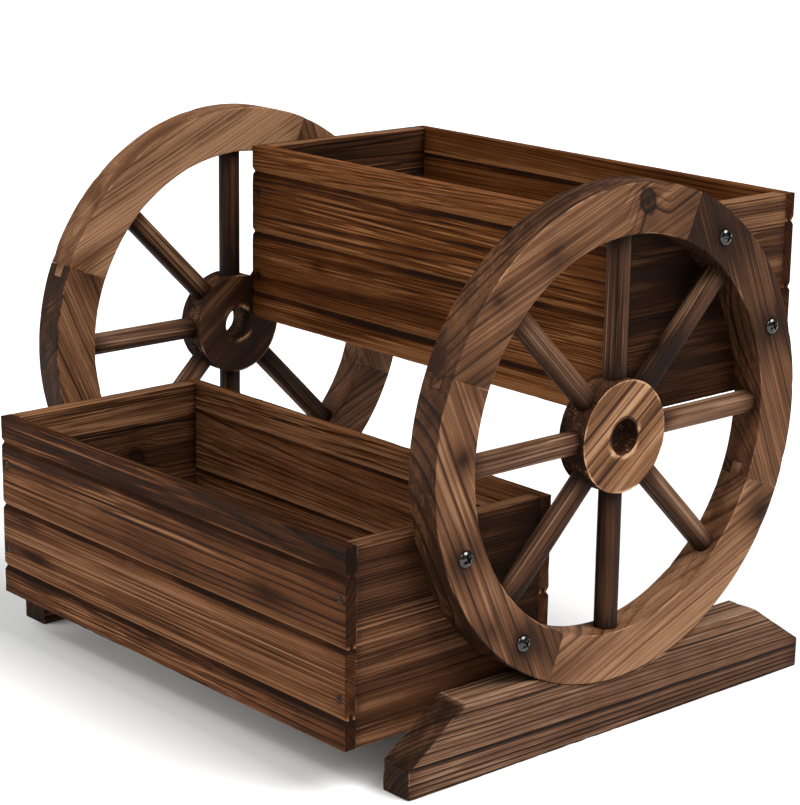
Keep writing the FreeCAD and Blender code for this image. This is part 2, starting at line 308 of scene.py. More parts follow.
RIM_WOOD = wood("rim_wood", (CHARRED, (0.026, 0.010, 0.004), (0.105, 0.0445, 0.0195),
                             (0.26, 0.138, 0.072)), ring=0.0045, lines=0.4, scorch=0.35,
                bands=0.6, brushed=0.35, streaks=0.32, shine=0.08)
SPOKE_WOOD = wood("spoke_wood", (CHARRED, (0.016, 0.0063, 0.003), (0.068, 0.030, 0.0145),
                                 (0.21, 0.12, 0.072)), ring=0.0045, lines=0.3, bands=1.2,
                  scorch=0.7, brushed=0.7, streaks=0.34, shine=0.07, dullness=0.5)
HUB_WOOD = wood("hub_wood", (CHARRED, (0.036, 0.0135, 0.005), (0.165, 0.073, 0.031),
                             (0.40, 0.24, 0.135)), ring=0.0105, lines=0.42, scorch=0.15,
                bands=0.6, brushed=0.2, shine=0.08)
FOOT_WOOD = wood("foot_wood", (CHARRED, (0.022, 0.010, 0.005), (0.094, 0.0435, 0.022),
                               (0.23, 0.136, 0.085)), ring=0.0044, lines=0.85, scorch=0.25,
                 bands=0.4, brushed=0.4, streaks=0.3, shine=0.06)
BRIGHT_STEEL = metal("bright_steel", (0.07, 0.068, 0.065), (0.02, 0.018, 0.016), 0.06)
DARK_STEEL = metal("dark_steel", (0.038, 0.031, 0.026), (0.012, 0.009, 0.007), 0.25)


# ---------------------------------------------------------------- mesh helpers

def stations(start, stop, step):
    """Evenly spaced values from start to stop, about a step apart."""
    rounding = 1e-9
    count = max(1, ceil(abs(stop - start) / step - rounding))
    return [start + (stop - start) * index / count for index in range(count + 1)]


def merged(fixed, *series):
    """One rising list: all the fixed values, and the others that aren't next to one of them."""
    values = list(fixed)
    for value in (value for part in series for value in part):
        if all(abs(value - kept) > LEAST_GAP for kept in values):
            values.append(value)
    return sorted(values)


def lattice(first, second, third, place, solid=None):
    """Closed mesh of the present cells of a three-way lattice, each corner put by place."""
    mesh = bmesh.new()
    corners = {}
    lines = (first, second, third)
    counts = [len(line) - 1 for line in lines]

    def corner(key):
        if key not in corners:
            corners[key] = mesh.verts.new(place(*(line[at] for line, at in zip(lines, key))))
        return corners[key]

    def present(cell):
        inside = all(0 <= at < count for at, count in zip(cell, counts))
        return inside and (solid is None or solid(*cell))

    for i in range(counts[0]):
        for j in range(counts[1]):
            for k in range(counts[2]):
                cell = (i, j, k)
                if not present(cell):
                    continue
                for axis in range(3):
                    for ahead in (0, 1):
                        beside = list(cell)
                        beside[axis] += 1 if ahead else -1
                        if present(beside):
                            continue
                        base = list(cell)
                        base[axis] += ahead
                        u, v = (axis + 1) % 3, (axis + 2) % 3
                        ring = []
                        for du, dv in ((0, 0), (1, 0), (1, 1), (0, 1)):
                            key = list(base)
                            key[u] += du
                            key[v] += dv
                            ring.append(corner(tuple(key)))
                        mesh.faces.new(ring if ahead else ring[::-1])
    bmesh.ops.recalc_face_normals(mesh, faces=mesh.faces)
    return mesh


def skin(mesh, loops):
    """Joins each ring of vertices to the next one with faces."""
    for lower, upper in zip(loops, loops[1:]):
        for index in range(len(lower)):
            following = (index + 1) % len(lower)
            mesh.faces.new((lower[index], lower[following], upper[following], upper[index]))


def soften(mesh, width, segments=2, choose=None, least=30):
    """Rounds the mesh's edges of more than least degrees and marks the new faces as worn."""
    layer = mesh.faces.layers.float.get("edge") or mesh.faces.layers.float.new("edge")
    edges = [edge for edge in mesh.edges if len(edge.link_faces) == 2
             and edge.calc_face_angle(0) > radians(least) and (choose is None or choose(edge))]
    made = bmesh.ops.bevel(mesh, geom=edges, offset=width, offset_type="OFFSET",
                           segments=segments, profile=0.5, affect="EDGES",
                           clamp_overlap=True)
    for face in made["faces"]:
        face[layer] = 1.0


def roughen(mesh, node, amount, size, dents):
    """Hand-made unevenness: slow waves of a size and an amount, and small dents in the edges."""
    mesh.normal_update()
    layer = mesh.faces.layers.float["edge"]
    seed = Random(node).uniform(0, 50)
    shift = Vector((seed * 1.37, seed * 2.11, seed * 0.73))
    for vert in mesh.verts:
        push = noise.noise(vert.co / size + shift) * amount
        if any(face[layer] for face in vert.link_faces):
            nick = noise.noise(vert.co / (size * 0.22) + shift * 2)
            push -= dents * max(0.0, nick - 0.15) ** 1.5
        vert.co += vert.normal * push


def fade(distance, reach):
    """One at no distance, falling smoothly to nothing at reach."""
    return max(0.0, 1 - abs(distance) / reach) ** 2


def make(mesh, node, material, grain=None, soot=None, tone=0.0, sharp=38):
    """Turns a bmesh into the finished piece that stands for a CAD node.

    soot gives each point's burnt layer (0 to 1), in places also painted shade, and tone
    its lightness above the usual, in places painted light; tone can also be one number for
    the whole piece.
    """
    mesh.normal_update()
    data = bpy.data.meshes.new(f"fine_{node}")
    mesh.to_mesh(data)
    mesh.free()
    data.materials.append(material)
    data.shade_smooth()
    data.set_sharp_from_angle(angle=radians(sharp))
    if grain:
        lay_grain(data, node, **grain)
        own = Random(f"{node} tone").uniform(-0.04, 0.04)
        points = [vert.co.copy() for vert in data.vertices]
        lift = tone if callable(tone) else lambda point: tone
        store(data, "tone", "FLOAT", "POINT", [lift(point) + own for point in points])
        store(data, "soot", "FLOAT", "POINT", [min(1.0, soot(point)) for point in points])
    piece = bpy.data.objects.new(f"fine_{node}", data)
    bpy.context.scene.collection.objects.link(piece)
    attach(piece, "root")
    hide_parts(node)
    return piece


def store(data, name, kind, domain, values):
    """Gives a mesh an attribute that its material reads."""
    attribute = data.attributes.new(name, kind, domain)
    attribute.data.foreach_set("vector" if kind == "FLOAT_VECTOR" else "value", values)


# How far round a knot the mesh knows its distance from it, and what it says beyond.
KNOT_REACH = 0.04
FAR = Vector((9, 9, 0))


def lay_grain(data, node, along, across, centre, turns=(20, 70), depth=(0.05, 0.11), rings=1.0,
              knots=()):
    """Gives a mesh its place in the log, says how far each face cuts across the grain and
    places the knots.

    turns and depth say which way and how far off the log's heart lay, rings how many times
    finer than usual its year rings are, and knots where along and across it branches grew
    and how thick they were.
    """
    random = Random(node)
    along, across = Vector(along).normalized(), Vector(across).normalized()
    through = along.cross(across)
    turn = radians(random.uniform(*turns)) * random.choice((-1, 1))
    distance = random.uniform(*depth)
    lean = Vector((random.uniform(-1, 1), random.uniform(-1, 1))) * 0.02
    start = random.uniform(1, 60)
    places, widths, gaps = [], [], []
    for vert in data.vertices:
        offset = vert.co - Vector(centre)
        run, side, deep = offset.dot(along), offset.dot(across), offset.dot(through)
        places += [run + start, (side - distance * sin(turn) + lean.x * run) * rings,
                   (deep - distance * cos(turn) + lean.y * run) * rings]
        # A knot slants through the board and is a little wider across the grain than along it.
        gap = FAR
        for knot_run, knot_side, size in knots:
            near = Vector((run - knot_run, (side - knot_side + deep * 0.2) * 0.75, 0)) / size
            gap = near if near.length < KNOT_REACH else gap
        gaps += list(gap)
        widths.append(side)
    ends = [abs(face.normal.dot(along)) for face in data.polygons]
    store(data, "grain", "FLOAT_VECTOR", "POINT", places)
    store(data, "knot", "FLOAT_VECTOR", "POINT", gaps)
    store(data, "across", "FLOAT", "POINT", widths)
    store(data, "end", "FLOAT", "FACE", ends)


def on_wheel(x, angle, radius):
    """The point at an angle and a distance from the axis of the wheels."""
    return Vector((x, AXLE_Y + radius * cos(angle), AXLE_Z + radius * sin(angle)))


def from_axle(point):
    """A point's distance from the axis of the wheels."""
    return hypot(point.y - AXLE_Y, point.z - AXLE_Z)


def wheel_radius(side):
    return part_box(f"{side}_felloe_top")[1][2] - AXLE_Z


# ---------------------------------------------------------------- boxes

X_AXIS, Y_AXIS, Z_AXIS = (1, 0, 0), (0, 1, 0), (0, 0, 1)
BOARD_CELL_LENGTH, BOARD_CELL_HEIGHT, DISH_CELL = 0.007, 0.005, 0.0011


def screw_places(tier):
    """Every screw of a box's front and back walls: centre of its head and way it faces."""
    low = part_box(f"{tier}_front_board_bottom")[0]
    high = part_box(f"{tier}_back_board_bottom")[1]
    for plane, facing in ((low[1], -1), (high[1], 1)):
        for x in (low[0] + SCREW_INSET, high[0] - SCREW_INSET):
            for height in (SCREW_LOW, SCREW_HIGH):
                yield Vector((x, plane, low[2] + height)), facing


# Tone above the usual and fineness of the year rings of the front walls' boards.
BOARD_LOOKS = {
    "lower_front_board_bottom": (-0.08, 1.0), "lower_front_board_lower": (0.06, 1.3),
    "lower_front_board_upper": (-0.07, 0.6), "lower_front_board_top": (-0.43, 0.55),
    "upper_front_board_bottom": (0.1, 1.5), "upper_front_board_lower": (-0.05, 1.3),
    "upper_front_board_upper": (-0.1, 0.6), "upper_front_board_top": (0.05, 1.4),
}
# Where along and across its grain a board has knots, and how thick they are.
KNOTS = {"upper_back_board_lower": [(-0.1, 0.01, 1.0)],
         "lower_back_board_upper": [(0.14, -0.008, 1.1)],
         "lower_end_panel_left": [(0.03, 0.02, 1.2)],
         "lower_floor_slat_middle": [(0.05, 0.01, 1.0)],
         "left_foot": [(0.12, 0.01, 1.0)]}
# Where a flame has left a wall darker: X, Z, half length, half height and depth of each smudge.
SMUDGES = {
    "lower_front_board_top": [(-0.05, 0.205, 0.24, 0.017, 1.2), (0.24, 0.203, 0.06, 0.012, 1.0)],
    "lower_front_board_upper": [(0.16, 0.160, 0.06, 0.022, 0.8), (0.03, 0.197, 0.2, 0.017, 0.9),
                                (-0.19, 0.19, 0.12, 0.024, 1.0)],
    "lower_front_board_lower": [(-0.21, 0.096, 0.07, 0.012, 1.1), (-0.22, 0.128, 0.08, 0.018, 1.0)],
    "lower_front_board_bottom": [(-0.2, 0.066, 0.09, 0.010, 0.5)],
    "upper_front_board_lower": [(-0.157, 0.358, 0.035, 0.014, 0.8), (-0.1, 0.365, 0.2, 0.018, 0.7)],
    "upper_front_board_bottom": [(0.05, 0.30, 0.2, 0.012, 0.4)],
}
# The height and the reach of a band whose fibres have been brushed out pale.
BRUSHED = {"lower_front_board_lower": (0.112, 0.030), "upper_front_board_bottom": (0.300, 0.02)}


def make_board(tier, face, course):
    """One course of a wall, tongued and grooved, bevelled above and below each joint."""
    node = f"{tier}_{face}_board_{course}"
    low, high = (Vector(point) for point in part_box(node))
    sign = -1 if face == "front" else 1
    outer = low.y if face == "front" else high.y
    thick = high.y - low.y
    tongue = course != "top"
    groove = course != "bottom"
    top = high.z - (TONGUE_HEIGHT if tongue else 0)
    holes = [place for place, facing in screw_places(tier)
             if facing == sign and low.z < place.z < top and course in ("lower", "upper")]

    around = [step * DISH_CELL for step in range(-5, 6)]
    xs = merged([low.x, low.x + STRIP, high.x - STRIP, high.x],
                *[[hole.x + gap for gap in around] for hole in holes],
                stations(low.x, high.x, BOARD_CELL_LENGTH))
    depths = [0, GROOVE_DEPTH, TONGUE_START, TONGUE_START + TONGUE_THICK, thick]
    heights = merged([low.z, low.z + GROOVE_HEIGHT, low.z + TONGUE_HEIGHT, top - LIP_HEIGHT, top,
                      high.z],
                     *[[hole.z + gap for gap in around] for hole in holes],
                     stations(low.z, top, BOARD_CELL_HEIGHT))
    tongue_cell = depths.index(TONGUE_START)
    roots = heights.index(low.z + TONGUE_HEIGHT)
    tops = heights.index(top)

    def solid(i, j, k):
        if k >= tops:
            return j == tongue_cell
        return not (groove and j == tongue_cell and k < roots)

    def place(x, depth, height):
        slope = 0.0
        if groove:
            slope = 1 - (height - low.z) / GROOVE_HEIGHT
        if tongue:
            slope = max(slope, 1 - (top - height) / LIP_HEIGHT)
        # Nowhere the whole depth, so that the lattice's next line stays apart.
        if depth == 0 and slope > 0:
            depth = GROOVE_DEPTH * min(slope, 0.98)
        return Vector((x, outer - sign * depth, height))

    def at_joint(edge):
        """True for the hidden edges of the tongue and its slot."""
        return all(TONGUE_START - TINY < (outer - vert.co.y) * sign
                   < TONGUE_START + TONGUE_THICK + TINY for vert in edge.verts)

    mesh = lattice(xs, depths, heights, place, solid)
    soften(mesh, 0.0008, choose=lambda edge: not at_joint(edge))
    roughen(mesh, node, amount=0.00025, size=0.05, dents=0.0012)
    for vert in mesh.verts:
        for hole in holes:
            gap = hypot(vert.co.x - hole.x, vert.co.z - hole.z)
            if abs(vert.co.y - outer) < STRIP and gap < DISH_RADIUS:
                vert.co.y -= sign * DISH_DEPTH * min(1.0, (DISH_RADIUS - gap) / DISH_SLOPE)

    def soot(point):
        shade = 0.0
        # Char and painted shade in each joint: the chamfer under it is blackened and the board
        # darkens near its top.
        if tongue:
            shade += 1.1 * fade(max(0.0, top - LIP_HEIGHT - point.z), 0.0025)
            shade += 0.35 * fade(top - point.z, 0.014)
        shade += 0.25 * fade(min(point.x - low.x, high.x - point.x), 0.05)
        for hole in holes:
            shade += 0.5 * fade((point - hole).length, 0.009)
        for x, z, length, height, depth in SMUDGES.get(node, ()):
            shade += depth * fade(hypot((point.x - x) / length, (point.z - z) / height), 1.0)
        return shade

    level, rings = BOARD_LOOKS.get(node, (0.0, 1.0))

    def tone(point):
        if not groove:
            return level
        # Painted highlight: the downward chamfer at a grooved board's bottom is made pale; the board
        # is also a little lighter for 25 mm above it.
        rise = point.z - low.z
        return level + 0.8 * fade(rise, 0.0025) + 0.15 * fade(rise, 0.025)

    grain = {"along": X_AXIS, "across": Z_AXIS, "centre": (low + high) / 2, "rings": rings,
             "knots": KNOTS.get(node, ())}
    material = RED_WOOD if tier == "upper" else BOARD_WOOD
    piece = make(mesh, node, material, grain, soot, tone)
    if node in BRUSHED:
        middle, reach = BRUSHED[node]
        store(piece.data, "brush", "FLOAT", "POINT",
              [2.0 * fade(abs(vert.co.z - middle), reach) for vert in piece.data.vertices])


def make_slab(node, material, along, across, reach, soot=None, edge=0.0012, step=0.008,
              turns=(20, 70), rings=1.0, top=0.0):
    """A plain board with rounded edges.

    reach is how far the soot runs in from its ends and top the painted light on its top edge.
    """
    low, high = (Vector(point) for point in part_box(node))
    inset = edge * 1.6
    lines = [merged([start, start + inset, stop - inset, stop], stations(start, stop, step))
             for start, stop in zip(low, high)]
    mesh = lattice(*lines, lambda x, y, z: Vector((x, y, z)))
    soften(mesh, edge)
    roughen(mesh, node, amount=0.0003, size=0.06, dents=0.0015)
    middle = (low + high) / 2
    length = abs((high - middle).dot(Vector(along)))

    def shade(point):
        run = abs((point - middle).dot(Vector(along)))
        return 0.35 * fade(length - run, reach) + (soot(point) if soot else 0.0)

    grain = {"along": along, "across": across, "centre": middle, "turns": turns,
             "rings": rings, "knots": KNOTS.get(node, ())}
    # Painted light: the top edge is made lighter by top, as if lit from above.
    make(mesh, node, material, grain, shade,
         lambda point: top * fade(high.z - point.z, 0.002))


def wheel_shadow(tier, side):
    """Painted shadow that the wheel casts on a box's end, inside the wheel's rim and behind it."""
    low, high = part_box(f"{tier}_end_panel_{side}")
    skin_depth = 0.004
    skin_start = max(abs(low[0]), abs(high[0])) - skin_depth

    def shade(point):
        radius = from_axle(point)
        outward = point.x * SIDES[side] > skin_start
        # Painted shadow on the panel's outer skin: dark inside the bolt circle, fading outside it.
        inside = 0.7 if radius < BOLT_CIRCLE else 0.7 * fade(radius - BOLT_CIRCLE, 0.04)
        return inside + 0.3 * fade(radius - BOLT_CIRCLE, 0.06) if outward else 0.0

    return shade


for tier in TIERS:
    for face in ("front", "back"):
        for course in COURSES:
            make_board(tier, face, course)
    for side in SIDES:
        # Each end panel gets the wheel's painted shadow and painted light on its top edge.
        make_slab(f"{tier}_end_panel_{side}", END_WOOD, Y_AXIS, Z_AXIS, 0.012,
                  wheel_shadow(tier, side), edge=0.0007, turns=(40, 80), rings=1.1, top=0.35)
        make_slab(f"{tier}_floor_cleat_{side}", FLOOR_WOOD, Y_AXIS, Z_AXIS, 0.02)
    for name in ("front", "middle", "rear"):
        make_slab(f"{tier}_floor_slat_{name}", FLOOR_WOOD, X_AXIS, Y_AXIS, 0.04)


# ---------------------------------------------------------------- wheels

# Each felloe's tone above the usual, at its start and at its end, and fineness of year rings.
FELLOE_LOOKS = {
    ("right", "rear"): (0.02, -0.32, 1.25), ("right", "top"): (-0.12, -0.05, 0.7),
    ("right", "front"): (0.05, 0.05, 0.55), ("right", "bottom"): (0.26, 0.16, 0.75),
    ("left", "rear"): (0.05, 0.05, 0.9), ("left", "top"): (0.26, 0.2, 1.3),
    ("left", "front"): (-0.02, -0.08, 1.2), ("left", "bottom"): (0.0, 0.0, 0.8),
}
# Angle, distance from the axle and thickness of the knots in the rims.
RIM_KNOTS = {"right_felloe_top": [(85, 0.21, 1.0)], "left_felloe_rear": [(20, 0.206, 0.9)]}
# Angle, distance from the axle and reach of the clouds that a flame has left on the rims.
RIM_SMUDGES = {"right_felloe_top": [(137.5, 0.219, 0.013), (118, 0.2, 0.03)],
               "right_felloe_front": [(176, 0.2, 0.03), (222, 0.22, 0.04)],
               "right_felloe_bottom": [(330, 0.222, 0.04)]}
# The rounding of the rim's long corners and of its other edges, and how far below its outside
# a point still counts as outside.
ROUND_CORNER, FINE_EDGE, OUTSIDE = 0.0009, 0.0004, 0.0008


def make_felloe(side, name, start_degrees):
    """A quarter of the rim, with a finger at its far end and a slot for one at its start."""
    node = f"{side}_felloe_{name}"
    low, high = (Vector(point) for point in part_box(node))
    outer = wheel_radius(side)
    inner = outer - RIM_DEPTH
    start, stop = radians(start_degrees), radians(start_degrees + 90)
    middle_x = (low.x + high.x) / 2
    steps = [(start, 0.0), (start, STRIP), (start, FINGER_LENGTH)]
    steps += [(angle, 0.0) for angle in stations(start + 0.08, stop - 0.01, 0.024)]
    steps += [(stop, 0.0), (stop, FINGER_LENGTH - STRIP), (stop, FINGER_LENGTH)]
    last = len(steps) - 3
    xs = [low.x, low.x + WIDE_STRIP, low.x + 3 * WIDE_STRIP, middle_x - FINGER_THICK / 2,
          middle_x, middle_x + FINGER_THICK / 2, high.x - 3 * WIDE_STRIP, high.x - WIDE_STRIP,
          high.x]
    radii = merged([inner, inner + WIDE_STRIP, outer - WIDE_STRIP, outer],
                   stations(inner, outer, 0.005))

    def solid(i, j, k):
        in_finger = abs((xs[j] + xs[j + 1]) / 2 - middle_x) < FINGER_THICK / 2
        return 2 <= i if in_finger else i < last

    def place(step, x, radius):
        angle, run = steps[int(step)]
        return on_wheel(x, angle + asin(run / radius), radius)

    mesh = lattice(list(range(len(steps))), xs, radii, place, solid)

    def on_corner(edge):
        """True for the long round corners of the rim."""
        points = [vert.co for vert in edge.verts]
        on_side = all(min(abs(point.x - low.x), abs(point.x - high.x)) < TINY for point in points)
        return on_side and all(min(abs(from_axle(point) - inner), abs(from_axle(point) - outer))
                               < TINY for point in points)

    soften(mesh, ROUND_CORNER, choose=on_corner)
    soften(mesh, FINE_EDGE)
    roughen(mesh, node, amount=0.0003, size=0.05, dents=0.0016)

    def ahead(point, angle):
        """How far a point lies past the plane through the axle at an angle."""
        return (point.z - AXLE_Z) * cos(angle) - (point.y - AXLE_Y) * sin(angle)

    def on_finger(point):
        """True on the finger that reaches into the next felloe."""
        return ahead(point, stop) > FINE_EDGE

    bolts = [on_wheel(high.x if side == "right" else low.x, radians(angle), BOLT_CIRCLE)
             for angle in BOLT_ANGLES]
    joints = [start, stop]
    random = Random(f"{node} soot")
    weights = [random.uniform(0.15, 0.6) for joint in joints]

    def soot(point):
        if on_finger(point):
            return 0.1
        shade = 0.0
        for joint, weight in zip(joints, weights):
            shade += weight * fade((point - on_wheel(point.x, joint, BOLT_CIRCLE)).length, 0.055)
        # Painted shade of the gaps round the finger: thin dark lines along the sides of its slot.
        if ahead(point, start) < FINGER_LENGTH + 0.001:
            shade += 0.9 * fade(abs(point.x - middle_x) - FINGER_THICK / 2, 0.0012)
        for bolt in bolts:
            shade += 1.2 * fade((point - bolt).length, 0.055)
        for degrees, radius, reach in RIM_SMUDGES.get(node, ()):
            shade += 0.9 * fade((point - on_wheel(point.x, radians(degrees), radius)).length, reach)
        for degrees in SPOKE_ANGLES:
            shade += 0.6 * fade((point - on_wheel(middle_x, radians(degrees), inner)).length, 0.022)
        radius = from_axle(point)
        return shade + 0.15 * fade(min(outer - radius, radius - inner), 0.0022)

    middle = (start + stop) / 2
    across = Vector((0, cos(middle), sin(middle)))
    along = Vector((0, -sin(middle), cos(middle)))
    centre = on_wheel(middle_x, middle, inner)
    start_tone, stop_tone, rings = FELLOE_LOOKS[side, name]
    outside_drop = 0.14 if name == "top" else 0.3

    def tone(point):
        share = ((point - centre).dot(along) / (2 * inner * sin(pi / 4))) + 0.5
        level = start_tone + (stop_tone - start_tone) * min(1.0, max(0.0, share))
        if from_axle(point) > outer - OUTSIDE:
            level -= outside_drop
        return level + (0.15 if on_finger(point) else 0.0)

    knots = []
    for degrees, radius, size in RIM_KNOTS.get(node, ()):
        turn = radians(degrees) - middle
        knots.append((sin(turn) * radius, cos(turn) * radius - inner, size))
    grain = {"along": along, "across": across, "centre": centre, "turns": (45, 80),
             "depth": (0.11, 0.2), "rings": rings, "knots": knots}
    make(mesh, node, RIM_WOOD, grain, soot, tone)


# The dowels' tone above the usual, by their angle, partly painted light: lighter on the level ones,
# darker on the upright ones; and the one that a flame has darkened, from how far along it.
SPOKE_TONE_AND_LIGHT = {0: 0.3, 45: -0.05, 90: -0.1, 135: -0.15, 180: 0.06, 225: -0.06, 270: -0.25}
BURNT_SPOKE, BURNT_RUN = 45, 0.09


def make_spoke(side, degrees):
    """A dowel let into hub and rim, with slight facets and a slightly uneven thickness."""
    node = f"{side}_spoke_{degrees:03d}"
    low, high = (Vector(point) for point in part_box(node))
    middle_x = (low.x + high.x) / 2
    radius = (high.x - low.x) / 2
    angle = radians(degrees)
    centre = (low + high) / 2
    reach = Vector((0, centre.y - AXLE_Y, centre.z - AXLE_Z)).length
    half = SPOKE_LENGTH / 2
    along = Vector((0, cos(angle), sin(angle)))
    across = Vector(X_AXIS)
    depth = along.cross(across)
    random = Random(node)
    shift = random.uniform(0, 40)
    mesh = bmesh.new()
    rows = stations(reach - half, reach + half, 0.005)
    count = 36
    rings = []
    for row in rows:
        ring = []
        for index in range(count):
            turn = index * 2 * pi / count
            facet = 1 - 0.010 * abs(sin(turn * 2.5 + shift)) ** 3
            wave = noise.noise(Vector((cos(turn), sin(turn), row * 14 + shift))) * 0.012
            out = radius * (facet + wave - 0.004)
            point = on_wheel(middle_x, angle, row)
            point += across * (out * cos(turn)) + depth * (out * sin(turn))
            ring.append(mesh.verts.new(point))
        rings.append(ring)
    skin(mesh, rings)
    mesh.faces.new(rings[0][::-1])
    mesh.faces.new(rings[-1])
    bmesh.ops.recalc_face_normals(mesh, faces=mesh.faces)
    hub_radius = (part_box(f"{side}_hub")[1][2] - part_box(f"{side}_hub")[0][2]) / 2
    rim_inside = reach + half - TENON

    def soot(point):
        run = from_axle(point)
        shade = 0.7 * fade(run - BURNT_RUN, 0.05) if degrees == BURNT_SPOKE else 0.0
        return shade + 0.8 * fade(run - hub_radius, 0.03) + 0.8 * fade(rim_inside - run, 0.03)

    grain = {"along": along, "across": across, "centre": centre, "turns": (0, 90),
             "depth": (0.02, 0.06)}
    make(mesh, node, SPOKE_WOOD, grain, soot, SPOKE_TONE_AND_LIGHT.get(degrees, 0.0), 60)


def make_hub(side):
    """A thick disc with smooth faces, a torn dark edge and a torn hole."""
    node = f"{side}_hub"
    low, high = (Vector(point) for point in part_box(node))
    outer = (high.z - low.z) / 2
    middle_x = (low.x + high.x) / 2
    count = 400
    random = Random(node)
    shift = Vector([random.uniform(0, 30) for axis in range(3)])
    xs = stations(low.x, high.x, 0.0011)
    radii = merged([HUB_BORE, HUB_BORE + 0.0008, HUB_BORE + 0.002, outer - 0.0018,
                    outer - 0.0007, outer], stations(HUB_BORE + 0.005, outer - 0.003, 0.004))
    mesh = bmesh.new()
    edge_layer = mesh.verts.layers.float.new("edge")

    def torn(point, size):
        """How deep the wood is torn out at a point, from 0 to 1."""
        coarse = noise.noise(point / (size * 3) + shift)
        fine = noise.turbulence(point / size + shift, 3, True)
        return max(0.0, min(1.0, 0.35 + coarse * 0.6 + (fine - 0.6) * 0.7))

    def ring(x, radius, wall=None):
        """A ring of vertices on the outer wall, the wall of the bore or else a face."""
        verts = []
        face_gap = min(x - low.x, high.x - x)
        for index in range(count):
            angle = index * 2 * pi / count
            point = on_wheel(x, angle, radius)
            bright = 0.0
            if wall:
                depth = torn(point, 0.0035)
                bright = 5.0 * max(0.0, noise.noise(point / 0.0011 + shift) - 0.2)
                depth *= min(1.0, 0.2 + face_gap / 0.003)
                sunk = 0.0034 * depth if wall == "outer" else 0.001 - 0.0026 * depth
                point = on_wheel(x, angle, radius - sunk)
            else:
                ragged = noise.noise(point / 0.003 + shift)
                wear = fade(radius - HUB_BORE, 0.006) + fade(outer - radius, 0.0025)
                point.x += 0.0009 * wear * max(0.0, 0.4 + ragged) * (1 if x < middle_x else -1)
                bright = 3.5 * wear
            vert = mesh.verts.new(point)
            vert[edge_layer] = bright
            verts.append(vert)
        return verts

    loops = [ring(x, outer, "outer") for x in xs]
    loops += [ring(high.x, radius) for radius in radii[-2:0:-1]]
    loops += [ring(x, HUB_BORE, "bore") for x in xs[::-1]]
    loops += [ring(low.x, radius) for radius in radii[1:-1]]
    skin(mesh, loops + loops[:1])
    bmesh.ops.recalc_face_normals(mesh, faces=mesh.faces)

    def soot(point):
        """The walls and the faces turned inwards are charred, the outward faces are not."""
        at_face = min(point.x - low.x, high.x - point.x) < 0.001
        if at_face and HUB_BORE + 0.001 < from_axle(point) < outer - 0.0005:
            return 0.0 if abs(point.x) > abs(middle_x) else 0.85
        return 0.95

    tilt = radians(38)
    grain = {"along": (0, cos(tilt), sin(tilt)), "across": (0, -sin(tilt), cos(tilt)),
             "centre": (low + high) / 2, "turns": (70, 80), "depth": (0.10, 0.12)}
    make(mesh, node, HUB_WOOD, grain, soot, tone=-0.05, sharp=50)


def make_foot(side):
    """A board on edge with sloped toes and a round cradle for the rim."""
    node = f"{side}_foot"
    low, high = (Vector(point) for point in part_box(node))
    wheel = wheel_radius(side) + CRADLE_GAP
    reach = sqrt(wheel ** 2 - (AXLE_Z - high.z) ** 2)

    def top(y):
        """The height of the board's top edge."""
        ramp = min(y - low.y, high.y - y) / FOOT_SLOPE
        height = high.z if ramp >= 1 else FOOT_TOE + (high.z - FOOT_TOE) * ramp
        if abs(y - AXLE_Y) < reach:
            height = min(height, AXLE_Z - sqrt(wheel ** 2 - (y - AXLE_Y) ** 2))
        return height

    breaks = [low.y, low.y + STRIP, low.y + FOOT_SLOPE, AXLE_Y - reach, AXLE_Y + reach,
              high.y - FOOT_SLOPE, high.y - STRIP, high.y]
    ys = merged(breaks, *[stations(start, stop, 0.006) for start, stop in zip(breaks, breaks[1:])])
    xs = merged([low.x, low.x + WIDE_STRIP, high.x - WIDE_STRIP, high.x],
                stations(low.x, high.x, 0.006))
    shares = merged([0, 0.04, 0.96, 1], stations(0, 1, 0.08))
    mesh = lattice(xs, ys, shares, lambda x, y, share: Vector((x, y, low.z + share * top(y))))
    soften(mesh, 0.0012, least=18)
    roughen(mesh, node, amount=0.0004, size=0.05, dents=0.002)

    def soot(point):
        shade = 0.4 * fade(min(point.y - low.y, high.y - point.y), 0.03)
        # Painted shade where the rim sits in the cradle: darker within 6 mm of it.
        cradle = from_axle(point) - wheel
        slope = min(point.y - low.y, high.y - point.y) < FOOT_SLOPE - 0.001
        on_slope = slope and top(point.y) - point.z < 0.0015
        return shade + 0.6 * fade(cradle, 0.006) + (0.6 if on_slope else 0.0)

    grain = {"along": Y_AXIS, "across": Z_AXIS, "centre": (low + high) / 2, "turns": (48, 56),
             "depth": (0.09, 0.11), "knots": KNOTS.get(node, ())}

    # Painted light: the top face is made lighter, as lit from above; the board is also darker
    # towards its bottom.
    def tone(point):
        return 0.15 if point.z > high.z - 0.0015 else -0.12 * fade(point.z - low.z, 0.04)

    make(mesh, node, FOOT_WOOD, grain, soot, tone)


for side in SIDES:
    for name, start in FELLOES.items():
        make_felloe(side, name, start)
    for degrees in SPOKE_ANGLES:
        make_spoke(side, degrees)
    make_hub(side)
    make_foot(side)


# ---------------------------------------------------------------- screws

# The cross recess, in shares of its head's radius: each bar's half length, half width, depth.
BAR_LENGTH, BAR_WIDTH, BAR_DEPTH = 0.56, 0.13, 0.42


